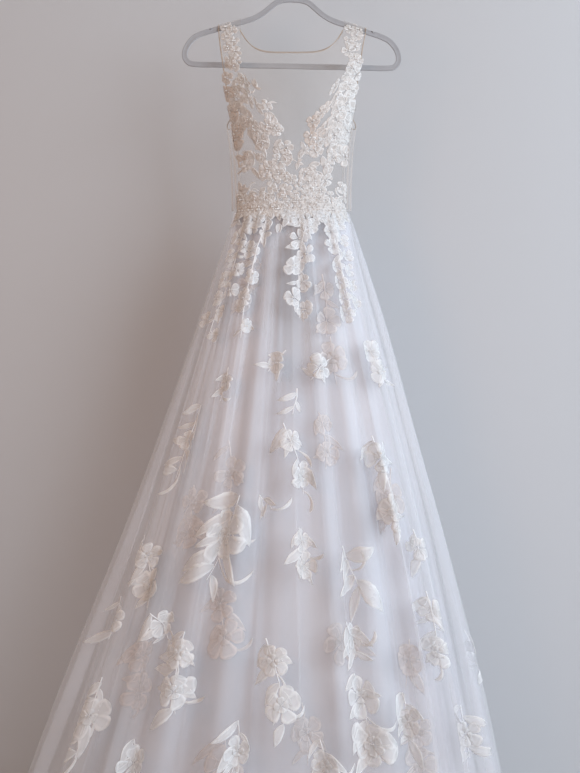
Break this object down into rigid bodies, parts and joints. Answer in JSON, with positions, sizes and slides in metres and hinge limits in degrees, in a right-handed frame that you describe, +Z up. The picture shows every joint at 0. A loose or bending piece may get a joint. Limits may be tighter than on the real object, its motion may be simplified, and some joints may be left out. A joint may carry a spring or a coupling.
{
  "type": "wedding dress on a hanger",
  "caption": "Wedding dress with a sheer net bodice, floral lace over a deep V, and a full tulle skirt with lace sprays, on a hanger.",
  "frame": {"origin": "inner top of the hanger's hook, where a rail would touch it", "axes": "+Z up; the front of the dress faces -Y; +X to the viewer's right"},
  "size_m": [0.9622, 0.4732, 1.6603],
  "materials": {
    "tulle": "matte",
    "lining": "satin",
    "lace": "satin",
    "net": "matte",
    "beads": "gloss",
    "flock": "matte",
    "steel": "gloss"
  },
  "bodies": {
    "root": {"hanger_frame": "flock", "hanger_collar": "steel", "hanger_hook": "steel", "bodice_front": "net", "bodice_back": "net", "side_left": "net", "side_right": "net", "boning_left_front": "net", "boning_left_middle": "net", "boning_right_front": "net", "boning_right_middle": "net", "strap_left": "net", "strap_right": "net", "lace_bodice_left": "lace", "lace_bodice_right": "lace", "overlay_front": "tulle", "overlay_back": "tulle", "tulle_front": "tulle", "tulle_back": "tulle", "lining_front": "lining", "lining_back": "lining", "spray_back_left": "lace", "spray_back_low_left": "lace", "spray_back_low_right": "lace", "spray_back_mid": "lace", "spray_back_right": "lace", "spray_big_left": "lace", "spray_centre_left": "lace", "spray_centre_low": "lace", "spray_centre_mid": "lace", "spray_centre_right": "lace", "spray_far_left": "lace", "spray_far_right": "lace", "spray_left_ribbon": "lace", "spray_low_big": "lace", "spray_low_centre": "lace", "spray_low_left": "lace", "spray_low_mid_left": "lace", "spray_low_right": "lace", "spray_right_knot": "lace", "spray_right_leaves": "lace", "spray_right_mid": "lace", "spray_waist_centre": "lace", "spray_waist_left": "lace", "spray_waist_mid_left": "lace", "spray_waist_right": "lace"}
  },
  "joints": []
}
